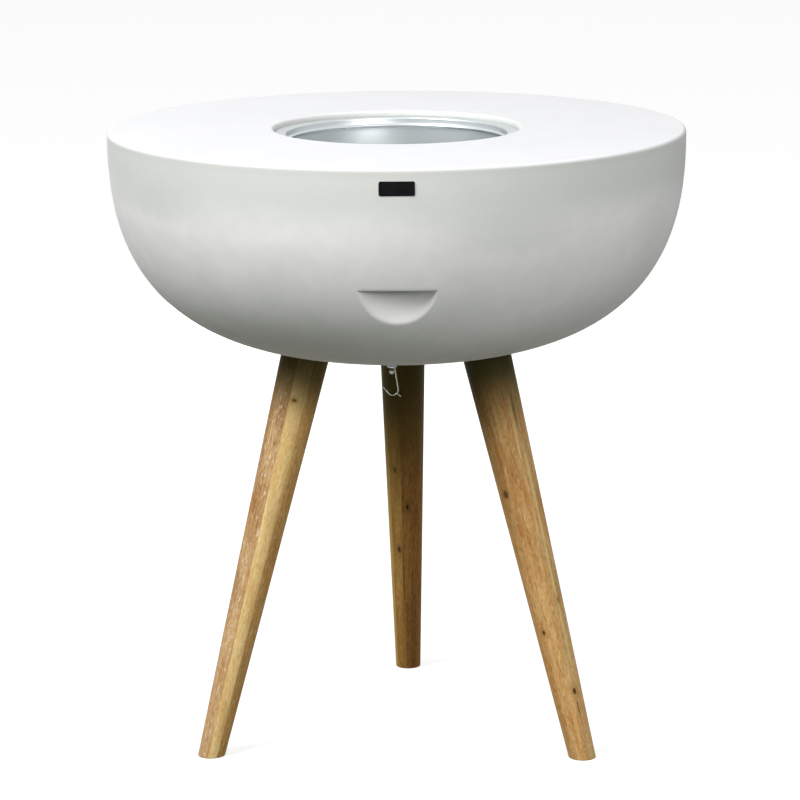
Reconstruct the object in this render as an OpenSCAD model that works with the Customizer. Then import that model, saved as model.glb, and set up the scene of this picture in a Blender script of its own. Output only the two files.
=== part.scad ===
// Cooler side table: a concrete-look bowl on three turned legs, with a deck that carries a lift-out ice bucket.
// Millimetres, +Z up, origin on the floor under the bowl's axis. The front faces -Y.

/* [Bowl] */
// Outer diameter of the bowl and of the top
bowl_d = 900; // [800:10:1000]
// Depth of the bowl, from the top face down to its underside
bowl_depth = 351; // [310:1:400]
// Fullness of the bowl's side: 2 is an ellipse, more is squarer
side_power = 3; // [2.6:0.1:3.4]
// Fullness of the bowl's underside
floor_power = 2.56; // [2.3:0.02:2.9]
// Wall thickness of the bowl
bowl_wall = 14; // [10:0.5:18]
// Height of the top face above the floor
top_h = 970; // [850:5:1100]

/* [Deck] */
// Thickness of the deck's edge, down to the seam on the bowl
rim_t = 14; // [11:0.5:16]
// Thickness of the deck inside the bowl
deck_t = 24; // [20:0.5:32]
// Radius on the deck's outer edge
rim_r = 5.5; // [2:0.5:9]
// Diameter of the opening in the deck
opening_d = 383; // [340:1:420]
// Radius on the edge of the opening
opening_r = 5; // [1:0.5:6]
// Depth from the top face to the bucket's rim
rim_drop = 8; // [7:0.5:10]
// Width of the ledge that carries the bucket
ledge_w = 14; // [11:0.5:15]
// Clearance between the deck's thick part and the bowl's wall
plug_gap = 1; // [0.5:0.1:2]

/* [Bucket] */
// Width of the bucket's rim, from its edge to the mouth
rim_w = 17.5; // [17:0.5:25]
// Depth of the bucket
bucket_depth = 200; // [150:5:230]
// Thickness of the bucket's sheet
bucket_t = 1.2; // [0.8:0.1:2]
// Draft angle of the bucket's side
bucket_draft = 2.5; // [0:0.5:6]
// Inner radius between the bucket's side and floor
bucket_corner = 24; // [8:1:40]
// Clearance between the bucket's rim and the deck's opening
rim_gap = 1.5; // [0.5:0.1:3]
// Height of the bucket's turned-down lip
lip_h = 1.4; // [0.5:0.1:1.5]
// Drop from the bucket's rim to its stiffening bead
bead_drop = 13; // [8:1:40]
// Height by which the bead stands inside the wall
bead_h = 2; // [0.5:0.1:4]
// Thickness of the gasket under the bucket's rim
gasket_t = 1.5; // [1.5:0.1:3]
// Height by which the bucket lifts to come clear of the top
bucket_lift = 230; // [200:5:300]

/* [Insulation] */
// Thickness of the foam sleeve
sleeve_t = 20; // [10:1:30]
// Gap between the bucket and the foam sleeve
sleeve_gap = 5; // [3:0.5:8]
// Thickness of the foam base
base_t = 18; // [10:1:25]
// Gap between the bucket's floor and the foam base
base_gap = 3; // [1:0.5:8]

/* [Hand grips] */
// Diameter of the round form that makes a grip
grip_d = 132; // [110:1:150]
// Drop from the top face to the grip's upper edge
grip_drop = 184; // [160:1:200]
// Depth of the grip under its upper edge
grip_depth = 39; // [25:1:45]
// Lean of the grip's back wall
grip_lean = 5; // [0:1:10]
// Wall thickness behind the grip
grip_wall = 12; // [8:1:16]

/* [Badge] */
// Width of the badge
badge_w = 52; // [40:1:70]
// Height of the badge
badge_h = 21; // [15:1:28]
// Thickness of the badge
badge_t = 2.2; // [2:0.1:4]
// Corner radius of the badge
badge_r = 2.5; // [0.5:0.5:4]
// Drop from the top face to the badge's middle
badge_drop = 29; // [27:0.5:50]
// Depth of the badge's pocket in the bowl, at the pocket's middle
pocket_depth = 1.6; // [1.4:0.1:2.2]
// Clearance round the badge in its pocket
pocket_gap = 0.3; // [0.1:0.1:0.6]
// Diameter of the badge's pins
pin_d = 3; // [2:0.5:4]
// Length of the badge's pins
pin_len = 8; // [4:0.5:9]
// Spacing of the badge's pins
pin_spacing = 32; // [20:1:36]

/* [Legs] */
// Splay of the legs from the vertical
leg_splay = 15.5; // [10:0.5:18]
// Distance of a foot's middle in from the bowl's side
foot_inset = 114; // [100:1:140]
// Turn of the leg set against the front
leg_turn = -2.3; // [-6:0.1:6]
// Diameter of a leg at its socket
leg_top_d = 75; // [60:0.5:80]
// Diameter of a leg at the floor
leg_foot_d = 41.5; // [32:0.5:50]
// Depth of the sockets in the bowl, on their axis
socket_depth = 20; // [14:0.5:28]
// Radial clearance of a leg in its socket
socket_gap = 0.3; // [0.1:0.1:0.6]
// Wall round a socket
boss_wall = 12; // [8:0.5:16]
// Thickness of a socket's floor
boss_floor = 18; // [14:1:24]

/* [Leg fastening] */
// Diameter of the hanger bolts
bolt_d = 10; // [8:1:12]
// Length of a hanger bolt in the wood
bolt_in_leg = 55; // [30:1:80]
// Diameter of an insert's sleeve
insert_d = 16; // [14:1:20]
// Diameter of an insert's flange
insert_flange_d = 38; // [28:1:44]
// Thickness of an insert's flange
insert_flange_t = 3; // [2:0.5:5]
// Radial clearance of the threaded parts
thread_gap = 0.05; // [0.02:0.01:0.1]

/* [Hook] */
// Offset of the hook's stud from the bowl's axis, along X
hook_x = -10; // [-16:1:16]
// Diameter of the stud
stud_d = 5; // [4:0.5:6]
// Drop from the bowl's underside to the hook's eye
hook_drop = 31.4; // [28:0.1:60]
// Width across the flats of the nuts
nut_af = 8; // [8:0.5:10]
// Height of a nut
nut_h = 4; // [3:0.1:5]
// Height of the cap nut's dome
dome_h = 6; // [5.5:0.1:8]
// Diameter of the washers
washer_d = 15; // [12:0.5:20]
// Thickness of a washer
washer_t = 1.2; // [0.8:0.1:2]
// Diameter of the hook's wire
wire_d = 2; // [1.5:0.1:2.5]
// Length of the hook's straight shank
shank_len = 32.8; // [24:0.1:50]
// Lean of the hook's shank from the vertical
shank_lean = 8.5; // [0:0.5:15]
// Radius of the hook's bend, at the wire's middle
bend_r = 8.7; // [6:0.1:14]
// Angle from the horizontal at which the hook's tip rises
tip_angle = 50; // [30:1:80]
// Length of the hook's straight tip
tip_len = 14.5; // [4:0.5:20]
// Length of the hook's short spur
spur_len = 8; // [4:0.5:10]

/* [Hidden] */
$fn = 96;

eps = 0.01;
bowl_r = bowl_d / 2;
deck_under = top_h - deck_t;
seam_z = top_h - rim_t;
underside = top_h - bowl_depth;
floor_in = underside + bowl_wall;
opening_rad = opening_d / 2;
rim_top = top_h - rim_drop;
ledge_z = rim_top - bucket_t - gasket_t;
ledge_rad = opening_rad - ledge_w;

// Half profile of the bowl as a superellipse, from a depth down to a flat seat at the middle
profile_steps = 60;
seat_r = 26;
function bowl_at(r, depth, d) = r * pow(1 - pow(d / depth, floor_power), 1 / side_power);
function bowl_points(r, depth, from) = let (a0 = asin(from / depth)) concat(
  [for (i = [0:profile_steps - 1]) let (d = depth * sin(a0 + (88 - a0) * i / (profile_steps - 1)))
    [bowl_at(r, depth, d), top_h - d]],
  [[seat_r, top_h - depth], [0, top_h - depth]]);
function arc(cx, cz, r, a0, a1, n = 8) = [for (i = [0:n]) let (a = a0 + (a1 - a0) * i / n)
  [cx + r * cos(a), cz + r * sin(a)]];

module turned(points) {
  rotate_extrude($fn = 180) polygon(points);
}

// The bowl's outer and inner forms, from a depth down
module bowl_form(r, depth, from) {
  turned(concat([[0, top_h - from]], bowl_points(r, depth, from)));
}

// Deck: rounded rim, recessed opening with a ledge for the bucket, and a thick part that drops inside the bowl
plug_r = bowl_r - bowl_wall - plug_gap;
rim_side_steps = 3;
module top_deck() {
  color([0.9, 0.9, 0.89]) turned(concat(
    arc(opening_rad + opening_r, top_h - opening_r, opening_r, 90, 180),
    [[opening_rad, ledge_z], [ledge_rad, ledge_z], [ledge_rad, deck_under], [plug_r, deck_under], [plug_r, seam_z]],
    [for (i = [rim_side_steps:-1:1]) let (d = rim_r + (rim_t - rim_r) * i / rim_side_steps)
      [bowl_at(bowl_r, bowl_depth, d), top_h - d]],
    arc(bowl_r - rim_r, top_h - rim_r, rim_r, 0, 90)));
}

// Legs: a straight taper along a splayed axis, parallel in the socket, cut level at the floor
leg_angles = [210, 330, 90];
foot_circle_r = bowl_r - foot_inset;
s_mouth = underside / cos(leg_splay);
s_seat = s_mouth + socket_depth + leg_top_d / 2 * tan(leg_splay);
socket_r = leg_top_d / 2 + socket_gap;
below_floor = 30;
leg_slope = (leg_top_d - leg_foot_d) / s_mouth;
module at_leg(i) {
  rotate([0, 0, leg_angles[i] + leg_turn]) translate([foot_circle_r, 0, 0]) rotate([0, -leg_splay, 0]) children();
}
module along_leg(from, to, r) {
  translate([0, 0, from]) cylinder(h = to - from, r = r);
}
module leg(i) {
  difference() {
    at_leg(i) difference() {
      union() {
        translate([0, 0, -below_floor]) cylinder(h = s_mouth + below_floor,
          d1 = leg_foot_d - leg_slope * below_floor, d2 = leg_top_d);
        along_leg(s_mouth, s_seat, leg_top_d / 2);
      }
      along_leg(s_seat - bolt_in_leg, s_seat + eps, bolt_d / 2 + thread_gap);
    }
    translate([0, 0, -below_floor]) cube([3 * bowl_r, 3 * bowl_r, 2 * below_floor], center = true);
  }
}
module leg_front_left() {
  color([0.72, 0.55, 0.36]) leg(0);
}
module leg_front_right() {
  color([0.74, 0.56, 0.36]) leg(1);
}
module leg_back() {
  color([0.52, 0.38, 0.2]) leg(2);
}

// Hanger bolts and the inserts that take them, on the legs' axes
s_flange = s_seat + boss_floor;
module leg_bolts() {
  color([0.7, 0.7, 0.72]) for (i = [0:2])
    at_leg(i) along_leg(s_seat - bolt_in_leg + 1, s_flange + insert_flange_t - 1, bolt_d / 2);
}
module leg_inserts() {
  color([0.75, 0.72, 0.6]) for (i = [0:2]) at_leg(i) difference() {
    union() {
      along_leg(s_seat, s_flange, insert_d / 2);
      along_leg(s_flange, s_flange + insert_flange_t, insert_flange_d / 2);
    }
    along_leg(s_seat - eps, s_flange + insert_flange_t + eps, bolt_d / 2 + thread_gap);
  }
}

// Hand grip: a leaning round cutter under a level upper edge, with a thicker form that leaves its wall
grip_z = top_h - grip_drop;
grip_face_r = bowl_at(bowl_r, bowl_depth, grip_drop);
grip_axis = grip_face_r - grip_depth + grip_d / 2;
module grip_form(extra) {
  intersection() {
    translate([0, -grip_axis, grip_z + extra]) rotate([-grip_lean, 0, 0])
      translate([0, 0, -bowl_depth]) cylinder(h = bowl_depth + 60, r = grip_d / 2 + extra);
    translate([-bowl_r, -bowl_r * 1.5, 0]) cube([bowl_d, bowl_r * 1.5, grip_z + extra]);
  }
}
module both_grips(extra) {
  for (a = [0, 180]) rotate([0, 0, a]) grip_form(extra);
}

// Bowl shell: outer form less a cavity that leaves the socket bosses and the grips' walls standing
badge_z = top_h - badge_drop;
badge_seat_y = -bowl_at(bowl_r, bowl_depth, badge_drop) + pocket_depth;
module bowl_shell() {
  color([0.8, 0.81, 0.79]) difference() {
    bowl_form(bowl_r, bowl_depth, rim_t);
    difference() {
      bowl_form(bowl_r - bowl_wall, bowl_depth - bowl_wall, rim_t - 1);
      for (i = [0:2]) at_leg(i) along_leg(s_mouth - 60, s_flange, socket_r + boss_wall);
      both_grips(grip_wall);
    }
    for (i = [0:2]) at_leg(i) {
      along_leg(s_mouth - 60, s_seat, socket_r);
      along_leg(s_seat - eps, s_flange + eps, insert_d / 2 + thread_gap);
    }
    both_grips(0);
    badge_block(badge_seat_y, pocket_gap, -bowl_r - 1);
    badge_rods(-1, pin_len + 0.5, pin_d / 2 + 0.05);
    translate([hook_x, 0, underside - 1]) cylinder(h = bowl_wall + 4, r = stud_d / 2 + 0.25);
  }
}

// Badge: a blank plate in a shallow pocket, held by two pins
module badge_block(seat_y, gap, out_y) {
  translate([0, seat_y, badge_z]) rotate([90, 0, 0]) linear_extrude(seat_y - out_y)
    rounded_plate(badge_w + 2 * gap, badge_h + 2 * gap, badge_r + gap);
}
module rounded_plate(w, h, r) {
  square([w - 2 * r, h], center = true);
  square([w, h - 2 * r], center = true);
  for (x = [-1, 1], z = [-1, 1]) translate([x * (w / 2 - r), z * (h / 2 - r)]) circle(r = r, $fn = 32);
}
module badge_rods(from, to, r) {
  for (x = [-1, 1]) translate([x * pin_spacing / 2, badge_seat_y + from, badge_z]) rotate([-90, 0, 0])
    cylinder(h = to - from, r = r, $fn = 32);
}
module badge_plate() {
  color([0.05, 0.05, 0.05]) badge_block(badge_seat_y, 0, badge_seat_y - badge_t);
}
module badge_pins() {
  color([0.6, 0.6, 0.6]) badge_rods(0, pin_len, pin_d / 2);
}

// Bucket: rim with a turned-down lip, drafted side with an inward bead, rounded corner and flat floor
rim_rad = opening_rad - rim_gap;
mouth_r = rim_rad - rim_w;
floor_z = rim_top - bucket_depth;
function side_r(z) = mouth_r - (rim_top - z) * tan(bucket_draft);
corner_z = floor_z + bucket_corner;
corner_r = side_r(corner_z) - bucket_corner;
bead_z = rim_top - bead_drop;
module ice_bucket() {
  color([0.66, 0.69, 0.69]) turned(concat(
    [[rim_rad, rim_top]],
    arc(mouth_r + 3, rim_top - 3, 3, 90, 180 + bucket_draft),
    [for (a = [-80:20:80]) [side_r(bead_z) - bead_h * cos(a) * cos(a), bead_z - bead_h * a / 45]],
    arc(corner_r, corner_z, bucket_corner, 0, -90, 10),
    [[0, floor_z], [0, floor_z - bucket_t]],
    arc(corner_r, corner_z, bucket_corner + bucket_t, -90, 0, 10),
    [for (a = [80:-20:-80]) [side_r(bead_z) + bucket_t - bead_h * cos(a) * cos(a), bead_z - bead_h * a / 45]],
    arc(mouth_r + 3, rim_top - 3, 3 - bucket_t, 180 + bucket_draft, 90),
    [[rim_rad - bucket_t, rim_top - bucket_t], [rim_rad - bucket_t, rim_top - bucket_t - lip_h],
     [rim_rad, rim_top - bucket_t - lip_h]]));
}

// Gasket on the ledge, inside the bucket's lip
module rim_gasket() {
  color([0.12, 0.12, 0.12]) turned([
    [ledge_rad + 1, ledge_z], [rim_rad - bucket_t - 1, ledge_z],
    [rim_rad - bucket_t - 1, ledge_z + gasket_t], [ledge_rad + 1, ledge_z + gasket_t]]);
}

// Foam sleeve bonded under the deck, and the foam base that closes it
sleeve_in = mouth_r + bucket_t + sleeve_gap;
sleeve_out = sleeve_in + sleeve_t;
base_top = floor_z - bucket_t - base_gap;
module insulation_sleeve() {
  color([0.92, 0.9, 0.85]) turned([
    [sleeve_in, deck_under], [sleeve_in, base_top], [sleeve_out, base_top], [sleeve_out, deck_under]]);
}
module insulation_base() {
  color([0.9, 0.88, 0.82]) turned([
    [0, base_top], [sleeve_out, base_top], [sleeve_out, base_top - base_t], [0, base_top - base_t]]);
}

// Hook: a stud through the bowl's floor with nuts and washers, and a wire hook that turns above the cap nut
eye_z = underside - hook_drop;
eye_gap = 0.08;
eye_r = stud_d / 2 + eye_gap + wire_d / 2;
cap_top = eye_z - wire_d / 2 - eye_gap;
lower_washer = eye_z + wire_d / 2 + eye_gap;
nut_corner = nut_af / sqrt(3);
module hook_nut() {
  difference() {
    cylinder(h = nut_h, r = nut_corner, $fn = 6);
    translate([0, 0, -1]) cylinder(h = nut_h + 2, r = stud_d / 2 + thread_gap);
  }
}
module hook_washer() {
  difference() {
    cylinder(h = washer_t, d = washer_d);
    translate([0, 0, -1]) cylinder(h = washer_t + 2, r = stud_d / 2 + 0.15);
  }
}
module hook_stud() {
  color([0.75, 0.75, 0.76]) translate([hook_x, 0, cap_top - nut_h - 2])
    cylinder(h = floor_in + washer_t + nut_h + 2 - cap_top + nut_h + 2, d = stud_d);
}
module hook_nuts() {
  color([0.78, 0.78, 0.8]) for (z = [floor_in + washer_t, underside - washer_t - nut_h, lower_washer + washer_t])
    translate([hook_x, 0, z]) hook_nut();
}
module hook_washers() {
  color([0.8, 0.8, 0.82]) for (z = [floor_in, underside - washer_t, lower_washer])
    translate([hook_x, 0, z]) hook_washer();
}
dome_r = nut_af / 2 - 0.25;
module hook_dome_nut() {
  color([0.8, 0.8, 0.82]) translate([hook_x, 0, cap_top]) difference() {
    union() {
      translate([0, 0, -nut_h]) cylinder(h = nut_h, r = nut_corner, $fn = 6);
      translate([0, 0, -nut_h - dome_h + dome_r]) cylinder(h = dome_h - dome_r, r = dome_r);
      translate([0, 0, -nut_h - dome_h + dome_r]) sphere(r = dome_r);
    }
    translate([0, 0, -nut_h - 2.1]) cylinder(h = nut_h + 3, r = stud_d / 2 + thread_gap);
  }
}

// The wire leaves the eye, turns down past the cap nut, bends and rises to its tip, with a short spur beside the bend
turn_r = wire_d;
shank_x = 4.8;
straight_d = wire_d - 0.04;
lap = 0.15;
spur_d = wire_d * 0.85;
spur_at = -41;
tip_at = tip_angle - 180;
shank_start = [shank_x - turn_r + turn_r * cos(shank_lean), -turn_r + turn_r * sin(shank_lean)];
shank_end = shank_start + shank_len * [sin(shank_lean), -cos(shank_lean)];
bend_mid = shank_end - bend_r * [cos(shank_lean), sin(shank_lean)];
module wire(from, turn, len) {
  translate([from.x, 0, from.y]) rotate([0, turn, 0]) translate([0, 0, -lap])
    cylinder(h = len + 2 * lap, d = straight_d, $fn = 32);
}
module wire_arc(middle, r, from, to) {
  translate([middle.x, 0, middle.y]) rotate([90, 0, 0]) rotate([0, 0, min(from, to)])
    rotate_extrude(angle = abs(to - from)) translate([r, 0]) circle(d = wire_d, $fn = 32);
}
module wire_end(from, turn, len, d) {
  translate([from.x, 0, from.y]) rotate([0, turn, 0]) rotate_extrude($fn = 32) intersection() {
    union() {
      translate([0, -lap]) square([d / 2, len + lap]);
      translate([0, len]) circle(d = d);
    }
    translate([0, -lap]) square([d / 2, len + lap + d]);
  }
}
function on_bend(a) = bend_mid + bend_r * [cos(a), sin(a)];
module hook() {
  color([0.8, 0.8, 0.82]) translate([hook_x, 0, eye_z]) {
    rotate([0, 0, -10]) rotate_extrude(angle = 280) translate([eye_r, 0]) circle(d = wire_d, $fn = 32);
    translate([0, -eye_r, 0]) {
      wire([0, 0], 90, shank_x - turn_r);
      wire_arc([shank_x - turn_r, -turn_r], turn_r, 90, shank_lean);
      wire(shank_start, 180 - shank_lean, shank_len);
      wire_arc(bend_mid, bend_r, shank_lean, tip_at);
      wire_end(on_bend(tip_at), tip_angle - 90, tip_len, straight_d);
      wire_end(on_bend(spur_at), -spur_at, spur_len, spur_d);
    }
  }
}

top_deck();
bowl_shell();
ice_bucket();
rim_gasket();
insulation_sleeve();
insulation_base();
badge_plate();
badge_pins();
leg_front_left();
leg_front_right();
leg_back();
leg_bolts();
leg_inserts();
hook_stud();
hook_nuts();
hook_washers();
hook_dome_nut();
hook();
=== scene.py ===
import math

import bpy
from mathutils import Matrix, Vector


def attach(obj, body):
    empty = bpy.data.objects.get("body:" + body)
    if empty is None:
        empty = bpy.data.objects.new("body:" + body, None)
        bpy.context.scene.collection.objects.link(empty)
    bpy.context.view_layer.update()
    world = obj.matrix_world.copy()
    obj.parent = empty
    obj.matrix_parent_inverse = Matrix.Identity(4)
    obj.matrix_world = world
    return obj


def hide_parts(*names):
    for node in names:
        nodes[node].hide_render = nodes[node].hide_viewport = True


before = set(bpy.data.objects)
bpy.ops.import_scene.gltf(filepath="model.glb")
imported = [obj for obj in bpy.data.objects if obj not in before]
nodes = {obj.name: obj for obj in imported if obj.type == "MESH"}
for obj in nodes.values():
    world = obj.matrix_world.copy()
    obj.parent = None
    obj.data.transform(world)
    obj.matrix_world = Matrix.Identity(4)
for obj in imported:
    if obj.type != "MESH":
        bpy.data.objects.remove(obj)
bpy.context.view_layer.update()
scene = bpy.context.scene
mm = 0.001


def deselectAll():
    if bpy.context.object and bpy.context.object.mode == "EDIT":
        bpy.ops.object.mode_set(mode="OBJECT")
    bpy.ops.object.select_all(action="DESELECT")


def pick(*pieces):
    deselectAll()
    for piece in pieces:
        piece.select_set(True)
    bpy.context.view_layer.objects.active = pieces[0]


def named(name):
    piece = bpy.context.object
    piece.name = piece.data.name = name
    return piece


def edit(piece, choose="SELECT"):
    pick(piece)
    bpy.ops.object.mode_set(mode="EDIT")
    bpy.ops.mesh.select_mode(type="VERT")
    bpy.ops.mesh.select_all(action=choose)


def leave():
    bpy.ops.object.mode_set(mode="OBJECT")


def settle(piece):
    # the object goes to the origin and its place into the mesh
    pick(piece)
    bpy.ops.object.transform_apply(location=True, rotation=True, scale=True)
    return piece


def smooth(piece, angle):
    pick(piece)
    bpy.ops.object.shade_smooth_by_angle(angle=math.radians(angle))


def tidy(piece, angle=32):
    edit(piece)
    bpy.ops.mesh.remove_doubles(threshold=2e-5)
    bpy.ops.mesh.normals_make_consistent(inside=False)
    leave()
    smooth(piece, angle)
    return piece


def selectFaces(piece, test):
    # in edit mode: selects the faces whose middle and normal pass the test
    bpy.ops.mesh.select_all(action="DESELECT")
    leave()
    for face in piece.data.polygons:
        face.select = test(face.center, face.normal)
    bpy.ops.object.mode_set(mode="EDIT")
    bpy.ops.mesh.select_mode(type="FACE")


def extrude(move):
    bpy.ops.mesh.extrude_region_move(TRANSFORM_OT_translate={"value": tuple(move)})


def spin(steps, degrees, middle=Vector(), axis=(0, 0, 1)):
    bpy.ops.mesh.spin(steps=steps, angle=math.radians(degrees), center=tuple(middle * mm), axis=axis)


def saw(height, **side):
    # cuts what is being edited level at a height, and closes it
    bpy.ops.mesh.bisect(plane_co=(0, 0, height * mm), plane_no=(0, 0, 1), use_fill=True, **side)


def cut(piece, tool, operation="DIFFERENCE"):
    pick(piece)
    modifier = piece.modifiers.new("Boolean", "BOOLEAN")
    modifier.operation = operation
    modifier.solver = "MANIFOLD"
    modifier.object = tool
    bpy.ops.object.modifier_apply(modifier=modifier.name)
    bpy.data.objects.remove(tool)


def ray(degrees):
    angle = math.radians(degrees)
    return math.cos(angle), math.sin(angle)


def arc(x, z, radius, start, end, steps):
    rays = [ray(start + (end - start) * i / steps) for i in range(steps + 1)]
    return [(x + radius * across, z + radius * up) for across, up in rays]


def turned(name, outline, sweeps, start=0, closed=True):
    # a vertex is extruded along the outline, in mm, the line is spun about Z, and what that gives
    # is doubled until it closes
    deselectAll()
    points = outline + outline[:1] if closed else outline
    side = Vector((*ray(start), 0)) * mm
    firstR, firstZ = points[0]
    bpy.ops.mesh.primitive_plane_add(size=mm, location=side * firstR + Vector((0, 0, firstZ * mm)))
    piece = settle(named(name))
    edit(piece)
    bpy.ops.mesh.merge(type="CENTER")
    for (r0, z0), (r1, z1) in zip(points, points[1:]):
        extrude(side * (r1 - r0) + Vector((0, 0, (z1 - z0) * mm)))
    bpy.ops.mesh.select_all(action="SELECT")
    for degrees, steps in sweeps:
        spin(steps, degrees)
    done = sum(degrees for degrees, steps in sweeps)
    while done < 360:
        bpy.ops.mesh.select_all(action="SELECT")
        bpy.ops.mesh.duplicate()
        bpy.ops.transform.rotate(value=math.radians(done), orient_axis="Z", center_override=(0, 0, 0))
        done *= 2
    leave()
    return tidy(piece)


def rod(name, radius, start, end, turn=Matrix(), vertices=64):
    # a cylinder in mm along a turned axis
    deselectAll()
    middle = turn @ Vector((0, 0, (start + end) / 2))
    bpy.ops.mesh.primitive_cylinder_add(vertices=vertices, radius=radius * mm, depth=(end - start) * mm,
                                        location=middle * mm, rotation=turn.to_euler())
    return settle(named(name))


def dress(piece, body, slot, material, *replaced):
    piece.data.materials.clear()
    piece.data.materials.append(material)
    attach(piece, body)
    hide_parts(*replaced)


class Reading:
    # one output of a node, so that sums on it read as sums
    def __init__(self, recipe, socket):
        self.recipe = recipe
        self.socket = socket

    def __add__(self, other):
        return self.recipe.sum("ADD", self, other)

    def __radd__(self, other):
        return self.recipe.sum("ADD", other, self)

    def __sub__(self, other):
        return self.recipe.sum("SUBTRACT", self, other)

    def __rsub__(self, other):
        return self.recipe.sum("SUBTRACT", other, self)

    def __mul__(self, other):
        return self.recipe.sum("MULTIPLY", self, other)

    def __rmul__(self, other):
        return self.recipe.sum("MULTIPLY", other, self)

    def __truediv__(self, other):
        return self.recipe.sum("DIVIDE", self, other)

    def __pow__(self, other):
        return self.recipe.sum("POWER", self, other)


class Recipe:
    # the nodes of one material, or of the world
    def __init__(self, name, world=None, **shader):
        self.material = world or bpy.data.materials.new(name)
        self.material.use_nodes = True
        self.tree = self.material.node_tree
        self.tree.nodes.clear()
        self.output = self.tree.nodes.new("ShaderNodeOutputWorld" if world else "ShaderNodeOutputMaterial")
        self.place = self.node("ShaderNodeTexCoord", out="Generated" if world else "Object")
        if not world:
            self.shader = self.node("ShaderNodeBsdfPrincipled").socket.node
            for setting, value in shader.items():
                self.shader.inputs[setting.replace("_", " ")].default_value = value
            self.show(Reading(self, self.shader.outputs[0]))

    def show(self, surface):
        self.tree.links.new(surface.socket, self.output.inputs["Surface"])

    def node(self, kind, settings=None, values=None, out=0):
        made = self.tree.nodes.new(kind)
        for key, value in (settings or {}).items():
            setattr(made, key, value)
        for key, value in (values or {}).items():
            self.feed(made.inputs[key], value)
        return Reading(self, made.outputs[out])

    def feed(self, socket, value):
        if isinstance(value, Reading):
            self.tree.links.new(value.socket, socket)
        else:
            socket.default_value = value

    def sum(self, operation, a, b=0.0):
        return self.node("ShaderNodeMath", {"operation": operation}, {0: a, 1: b})

    def limit(self, value):
        return self.node("ShaderNodeClamp", None, {"Value": value})

    def step(self, value, low, high, a=0.0, b=1.0):
        # a smooth change from a to b as value goes from low to high
        return self.node("ShaderNodeMapRange", {"interpolation_type": "SMOOTHSTEP"},
                         {"Value": value, "From Min": low, "From Max": high, "To Min": a, "To Max": b})

    def mix(self, share, a, b, blend="MIX"):
        settings = {"data_type": "RGBA", "blend_type": blend}
        return self.node("ShaderNodeMix", settings, {0: share, 6: a, 7: b}, out=2)

    def tint(self, tone):
        return (*tone, 1.0)

    def painted(self, colour, share, tone):
        return self.mix(share, colour, self.tint(tone))

    def dyed(self, colour, share, tone):
        # like painted, but what is underneath shows through
        return self.mix(share, colour, self.mix(1.0, colour, self.tint(tone), "MULTIPLY"))

    def moved(self, vector, kind="POINT", **values):
        return self.node("ShaderNodeMapping", {"vector_type": kind}, {"Vector": vector, **values})

    def noise(self, vector, scale, detail, rough=0.5, twist=0.0):
        values = {"Vector": vector, "Scale": scale, "Detail": detail, "Roughness": rough,
                  "Distortion": twist}
        return self.node("ShaderNodeTexNoise", None, values)

    def cells(self, vector, scale):
        return self.node("ShaderNodeTexVoronoi", None, {"Vector": vector, "Scale": scale}, out="Distance")

    def parts(self, vector):
        split = self.node("ShaderNodeSeparateXYZ", None, {0: vector}).socket.node
        return [Reading(self, split.outputs[i]) for i in range(3)]

    def joined(self, x, y, z):
        return self.node("ShaderNodeCombineXYZ", None, {0: x, 1: y, 2: z})

    def bump(self, height, distance, strength):
        values = {"Height": height, "Distance": distance, "Strength": strength}
        return self.node("ShaderNodeBump", None, values)

    def finish(self, colour, roughness, normal):
        for name, value in (("Base Color", colour), ("Roughness", roughness), ("Normal", normal)):
            self.feed(self.shader.inputs[name], value)
        return self.material


# scales of the noises in both concretes, how far the grains and pores show, and the depth of the relief
concreteGrain = {"grit": 900, "speck": 420, "gritShare": 0.1, "mottle": 34, "layers": 26, "pore": 110,
                 "poreSpread": 31, "poreLargest": 0.13, "poreEdge": 14, "poreShare": 0.55, "roughness": 0.62,
                 "depth": 0.00016}


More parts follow.
